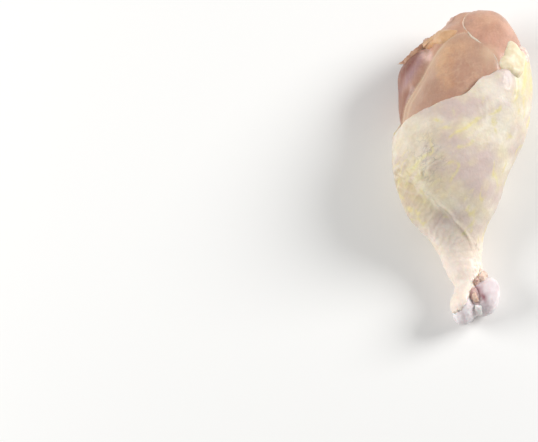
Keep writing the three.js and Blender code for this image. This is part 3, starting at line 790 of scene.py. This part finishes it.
def shade_mottled(name, light, deep, size, limits, relief, sockets):
    """Moist tissue in two tones, with patches `size` mm across."""
    material, tree, shader, mm = new_material(name, sockets)
    cloud = add_node(tree, "TexNoise", {"Vector": mm, "Scale": 1 / size, "Detail": 4})
    finish_surface(tree, shader, layered(tree, light, [((cloud, *limits), deep)]), cloud, *relief)
    return material


# Raw fat: waxy and dull, with light passing a little way into it.
def shade_fat(name, light, deep):
    return shade_mottled(name, light, deep, 3, (0.4, 0.65), (0.25, 0.0005), {
        "Roughness": 0.46, "IOR": 1.45, "Subsurface Weight": 0.35, "Subsurface Radius": (1, 0.7, 0.4),
        "Subsurface Scale": 0.002, "Coat Weight": 0.12, "Coat Roughness": 0.25,
    })


def tissue(outline, seed, thickness, depth, clings, form=muscle_distance, lean=(0, 0, 0), lift=None):
    """Rings of points for a flat, knobbly lump inside an outline.

    It stands `thickness` mm out of the form and goes `depth` mm into it. Where it `clings`, its outline is
    laid on the form. Where that is None, only the part of it that would lie inside is. Its way up may `lean`,
    and `lift` says how much higher its top is at each point.
    """
    rim, _ = drawn([*outline, outline[0]], RIM_POINTS + 1)
    middle = rim[:-1].mean(0)
    shares = np.linspace(0, 1, LUMP_RINGS + 1)[1:]
    profile = [(s, thickness * (1 - s**2.4) ** 0.7 - EDGE_DROP * s**6) for s in shares]
    profile += [(s, -depth) for s in shares[::-4]]
    share, height = [np.array(column)[:, None] for column in zip(*profile)]
    points = middle + share[..., None] * (rim[:-1] - middle)
    inside = form(points)[..., None] < 0
    points = np.where(inside if clings is None else clings, settle(points, form), points)
    outward = unit(facing(form, points) + np.array(lean))
    knobs = 0.22 * lumps(points, 3.2, seed + 1) + 0.12 * lumps(points, 1.2, seed + 2)
    knobs = np.where(height > -EDGE_DROP, knobs, 0) * np.sqrt(1 - share**4)
    raised = lift(points) * (height >= -EDGE_DROP) if lift else 0
    return points + outward * (height + knobs + raised)[..., None]


def onto_skin(points):
    """How far fat climbs onto the skin, right of the skin's lobe. The lobe itself lies over the fat.

    At the far left, the end of the strip sinks under the torn membrane instead.
    """
    spine = curve_at(SPINE, points[..., 1])
    angle = np.degrees(np.arctan2(points[..., 2] - spine[..., 1], points[..., 0] - spine[..., 0]))
    overlap = round_value(CUT_EDGE, angle) - points[..., 1]
    climb = SKIN_OUTER * ease(-4, 0.6, overlap) - 2.8 * ease(1, 6, overlap)
    return climb * ease(19, 21.5, points[..., 0]) - 0.9 * ease(-9, -16, points[..., 0])


for name, (node, finish, seed, thickness, depth, clings, outline) in FAT_LUMPS.items():
    points = tissue(outline, seed, thickness, depth, clings, lift=onto_skin)
    lump = make_piece(name, points, shade_fat(*finish))
    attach(lump, "root")
    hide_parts(node)

# ---- Sinew on the muscles ----
# White strands of fascia and tendon that lie in the grooves where three muscles meet at the knee. Each is
# a thin flat cord grown to the sheaths on both sides.
# The line of each from above, and its radius.
STRANDS = {
    "fascia_strand": (DEEP_BORDER[:3], 0.13),
    "tendon_strand": ([[2.4, 56.6], [4.2, 53.8], [6.4, 51.6], [9.2, 49]], 0.36),
    "septum_strand": ([[9.2, 49], [12.2, 46.6], [14.6, 43.4], [16.4, 38.6]], 0.16),
}
STRAND_STEPS, STRAND_SIDES, STRAND_WIDE, STRAND_HIGH, STRAND_SUNK = 70, 10, 1.3, 0.8, 0.15
INSIDE_HEIGHT = 18


# Wet connective tissue: thin and slightly clear, more or less glossy as it is drawn tight or torn.
def shade_tissue(name, light, deep, size, roughness):
    return shade_mottled(name, light, deep, size, (0.38, 0.62), (0.3, 0.0003), {
        "Roughness": roughness, "IOR": 1.4, "Subsurface Weight": 0.3, "Subsurface Radius": (1, 0.5, 0.4),
        "Subsurface Scale": 0.0015, "Coat Weight": 0.15, "Coat Roughness": 0.25,
    })


def cord_rings(middle, ahead, up, radius, wide, high, sides):
    """Rings of points for a cord, `wide` times its radius to each side and `high` times it up and down."""
    aside = unit(np.cross(ahead, up))
    around = np.arange(sides)[None, :, None] * math.tau / sides
    ring = np.cos(around) * aside[:, None] * wide + np.sin(around) * up[:, None] * high
    return middle[:, None] + radius[:, None, None] * ring


def strand_rings(line, radius):
    flat, along = drawn(line, STRAND_STEPS)
    walk = np.outer(along, [1, 0, 0])
    flat = flat + 0.25 * wander(walk, 3, 71, 72)
    start = np.column_stack([flat, np.full(STRAND_STEPS, INSIDE_HEIGHT)])
    middle = cast(muscle_distance, start, np.array([0, 0, 1]))
    up = facing(muscle_distance, middle)
    taper = radius * np.sqrt(np.sin(np.pi * np.linspace(0.02, 0.98, STRAND_STEPS)))
    ahead = np.gradient(middle, axis=0)
    return cord_rings(middle - STRAND_SUNK * up, ahead, up, taper, STRAND_WIDE, STRAND_HIGH, STRAND_SIDES)


sinew = shade_tissue("white sinew", "#e2d2bf", "#d8c3ae", 2, 0.35)
for name, (line, radius) in STRANDS.items():
    strand = make_piece(name, strand_rings(line, radius), sinew)
    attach(strand, "root")

# ---- Membrane on the inner muscle ----
# A torn flap of clear grey-brown connective tissue, left where the thigh was pulled away. It is grown to
# the inner muscle along one edge, and its other edge hangs free and ragged.
FLAP_ROOT = [
    [-24.6, 44.6, 21], [-22.8, 47.4, 22], [-20.6, 49.6, 22.4], [-18.4, 51.8, 22.4], [-15.4, 54, 23],
    [-12, 55.4, 24.6],
]
FLAP_EDGE = [
    [-28.8, 45.6, 19], [-26.6, 46.8, 20], [-24.3, 49.2, 20.6], [-21, 52.4, 20.8], [-17, 56, 22],
    [-12, 58, 24.5],
]
FLAP_STEPS, FLAP_ROWS, FLAP_ROOTED = 110, 18, 0.25
root = settle(drawn(FLAP_ROOT, FLAP_STEPS)[0], muscle_distance)
free = drawn(FLAP_EDGE, FLAP_STEPS)[0]
along = np.linspace(0, 1, FLAP_STEPS)
rag = np.outer(along, [22, 0, 0])
reach = 1 + 0.22 * lumps(rag, 2.4, 81) + 0.13 * lumps(rag, 0.8, 82) - 0.25 * np.abs(lumps(rag, 4, 84))
across = np.linspace(-FLAP_ROOTED, 1, FLAP_ROWS)
across = np.concatenate([across, across[::-1]])
under = np.arange(2 * FLAP_ROWS) >= FLAP_ROWS
flap = root[:, None] + (across * reach[:, None])[..., None] * (free - root)[:, None]
arch = 0.5 * np.sin(np.pi * clamp(across)) - 0.5 * (across < 0) - 0.35 * under * (1.1 - across)
outward = facing(muscle_distance, flap)
flap = flap + outward * (0.25 + arch + 0.3 * lumps(flap, 2.2, 83) + 0.2 * lumps(flap, 0.9, 85))[..., None]
membrane = make_piece("torn_membrane", flap, shade_tissue("torn membrane", "#a97e66", "#c0977c", 2.5, 0.4))
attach(membrane, "root")

# ---- Torn tissue at the ankle ----
# Stubs of cut tendon and scraps of skin and blood-stained tissue in the groove between the two knobs.
# Each has its finish with two tones, patch size and roughness, then its thickness, depth and outline.
SCRAPS = {
    "groove_tissue": (("lilac tissue", "#d6bfbd", "#bf9f9d", 1.6, 0.5), 1.1, 1.6, [
        [3.9, -58.4, 17.8], [4.7, -57.2, 17.4], [5.8, -56.7, 16.2], [6.9, -58, 16.6], [7.9, -60.2, 17],
        [8.4, -62.5, 17], [8.8, -64.5, 16.6], [8.4, -66.4, 15.4], [6.4, -66.6, 15.2], [5.2, -65, 16.2],
        [4.4, -63, 16.8], [3.6, -61.6, 17.2], [3.4, -60.3, 17.8],
    ]),
    "dark_tissue": (("dark tissue", "#d0ada4", "#b58e87", 1.5, 0.5), 0.9, 1.2, [
        [3.7, -58.8, 17.9], [4.5, -57.4, 17.7], [5.9, -56.9, 16.6], [6.7, -58.2, 16.9], [7.1, -60.4, 17.2],
        [6.2, -60.4, 17.2], [5.2, -59.9, 17.2], [4.8, -61.6, 17.4], [4.2, -62.8, 17.4], [3.5, -61, 17.6],
    ]),
    "tendon_stub": (("tan tendon", "#dec2ae", "#cba994", 2.5, 0.5), 1.8, 1.8, [
        [4.1, -59.5, 17.7], [5.4, -58.9, 17.6], [6.7, -59.7, 17.6], [7.5, -61.8, 17.5], [7.5, -63.4, 17.1],
        [6.3, -64, 16.9], [4.9, -62.7, 17.1], [4.1, -61.1, 17.5],
    ]),
    "white_chunk": (("white tissue", "#fdf9f5", "#efe7e2", 1.4, 0.6), 1.3, 2.6, [
        [5.7, -64.9, 16.6], [6.7, -64.4, 16.8], [8.6, -64.8, 16.8], [9.4, -65.2, 16.2], [9.3, -66.6, 14.6],
        [9.4, -68, 12], [7.9, -68.4, 11.4], [6.2, -68.2, 11.6], [5.8, -66.8, 14.2],
    ]),
    "torn_cuff": (("torn skin", "#e6d0bd", "#c5a596", 2.2, 0.5), 0.9, 1.6, [
        [6.8, -53.4, 16.9], [7.3, -51.8, 17.1], [8.4, -50.2, 16.6], [9.5, -48.8, 15.2], [10.6, -48.6, 13.8],
        [11.6, -49.8, 12.6], [11.2, -51.6, 13.2], [10.2, -53.4, 15.2], [8.7, -53.8, 15.6],
    ]),
    "cuff_shred": (("brown shred", "#dabdab", "#b79488", 1.8, 0.5), 0.8, 1.5, [
        [5.5, -54.8, 17.4], [5.9, -53, 17.4], [7, -52, 17], [7.9, -52.8, 16.6], [7.6, -54.3, 16],
        [6.4, -55.8, 15.8],
    ]),
}
FRAY, FRAY_SIZE = 0.4, 1.7
for seed, (name, (finish, thickness, depth, outline)) in enumerate(SCRAPS.items()):
    points = tissue(outline, 90 + 3 * seed, thickness, depth, False, bone_distance, (0, -0.4, 1))
    points = points + FRAY * wander(points, FRAY_SIZE, 120 + seed, 130 + seed, 140 + seed)
    scrap = make_piece(name, points, shade_tissue(*finish))
    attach(scrap, "root")

# ---- Torn tissue at the cut ----
# A white shred of the membrane under the skin, pulled up at the corner of the cut. At the knee, the cut rim
# of the joint capsule goes round the hollow, with the stub of a ligament between the bone's two knobs.
SHRED = [
    [26.2, 52.2, 26.4], [27.4, 51.6, 25], [28.8, 49.6, 24.4], [29.8, 47, 24], [30, 44.6, 25.6],
    [29.2, 43.2, 28], [27.6, 44.6, 29.6], [26.2, 47.2, 29.4], [25.6, 50.2, 28.4],
]
LIGAMENT_Y, LIGAMENT_UP, LIGAMENT_RADII, LIGAMENT_POINTS = 64, 1.4, (2.6, 2.1), 8
CAPSULE_RADII, CAPSULE_STEPS, CAPSULE_SIDES = (11.6, 6.6), 180, 16
CAPSULE_START, CAPSULE_WIDE, CAPSULE_HIGH, CAPSULE_SUNK = 50, 1.7, 0.9, 0.25


def oval(radii, y, up, count):
    """Points of an upright oval in the knee's hollow, its middle `up` mm above the hollow's."""
    turn = np.arange(count) * math.tau / count
    x, _, z = KNEE_HOLLOW[0]
    return np.stack([x + radii[0] * np.cos(turn), y + 0 * turn, z + up + radii[1] * np.sin(turn)], -1)


# The capsule is a lumpy cord on the hollow's rim, thin at the left.
rim = oval(CAPSULE_RADII, CAPSULE_START, 0, CAPSULE_STEPS)
rim = cast(muscle_distance, rim, np.array([0, 1, 0]), reach=30)
up = facing(muscle_distance, rim)
rim = rim + knee_form(rim)[:, None] * up
ahead = np.roll(rim, -1, 0) - np.roll(rim, 1, 0)
thick = 0.75 + 0.5 * lumps(rim, 2.4, 151) + 0.3 * lumps(rim, 0.9, 152)
thick = np.maximum(thick * (0.3 + 0.7 * ease(-7, -3.5, rim[:, 0])), 0.15)
rim = rim - CAPSULE_SUNK * up
capsule = cord_rings(rim, ahead, up, thick, CAPSULE_WIDE, CAPSULE_HIGH, CAPSULE_SIDES)
capsule = capsule + 0.3 * lumps(capsule, 1.1, 153)[..., None] * up[:, None]
ligament = oval(LIGAMENT_RADII, LIGAMENT_Y, LIGAMENT_UP, LIGAMENT_POINTS)
joint_white = shade_tissue("joint capsule", "#e0cbbd", "#c49f8f", 2.2, 0.4)
pale_membrane = shade_tissue("pale membrane", "#f0e2d6", "#dcb6a8", 1.6, 0.4)
torn_ends = {
    "white_shred": (tissue(SHRED, 154, 1.1, 2, False), pale_membrane, False),
    "ligament_stub": (tissue(ligament, 155, 1.4, 1, True, bone_distance), joint_white, False),
    "joint_capsule": (capsule, joint_white, True),
}
for name, (points, finish, loop) in torn_ends.items():
    end = make_piece(name, points, finish, loop=loop)
    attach(end, "root")

# ---- Floor, light and camera ----
# A plain pale table top, soft light from above, and a long lens over the drumstick.
TABLE_REACH = 3
corners = [(x * TABLE_REACH, y * TABLE_REACH, 0) for x, y in [(-1, -1), (1, -1), (1, 1), (-1, 1)]]
floor_mesh = bpy.data.meshes.new("table_top")
floor_mesh.from_pydata(corners, [], [(0, 1, 2, 3)])
floor = put_in_scene("table_top", floor_mesh)
board = new_material("matt white board", {"Base Color": linear("#f2f1ee"), "Roughness": 0.8})[0]
floor_mesh.materials.append(board)


def soft_light(name, place, size, watts):
    light = bpy.data.lights.new(name, "AREA")
    light.shape, light.size, light.energy = "DISK", size, watts
    lamp = put_in_scene(name, light)
    lamp.location = place
    lamp.rotation_mode = "QUATERNION"
    lamp.rotation_quaternion = (-Vector(place)).to_track_quat("-Z", "Y")


soft_light("key_softbox", (0.95, 0.4, 0.62), 0.6, 14)
soft_light("fill_softbox", (-0.95, 0, 0.55), 0.7, 8.5)
room = bpy.data.worlds.new("pale_room")
bpy.context.scene.world = room
room.use_nodes = True
room_light = room.node_tree.nodes["Background"].inputs
room_light["Color"].default_value = linear("#f4f6fa")
room_light["Strength"].default_value = 0.33

ELEVATION = math.radians(75)
LENS, DISTANCE = 180, 1.201
AIM = Vector((-0.0002, -0.0043, 0.020))
PAN_LEFT, PAN_DOWN = math.radians(4.1), math.radians(1.02)
camera = put_in_scene("camera", bpy.data.cameras.new("camera"))
camera.data.lens = LENS
back = Vector((0, -math.cos(ELEVATION), math.sin(ELEVATION)))
camera.location = AIM + back * DISTANCE
camera.rotation_mode = "QUATERNION"
turned = (-back).to_track_quat("-Z", "Y").to_matrix()
turned = turned @ Matrix.Rotation(PAN_LEFT, 3, "Y") @ Matrix.Rotation(-PAN_DOWN, 3, "X")
camera.rotation_quaternion = turned.to_quaternion()
bpy.context.scene.camera = camera
bpy.context.scene.view_settings.view_transform = "Standard"
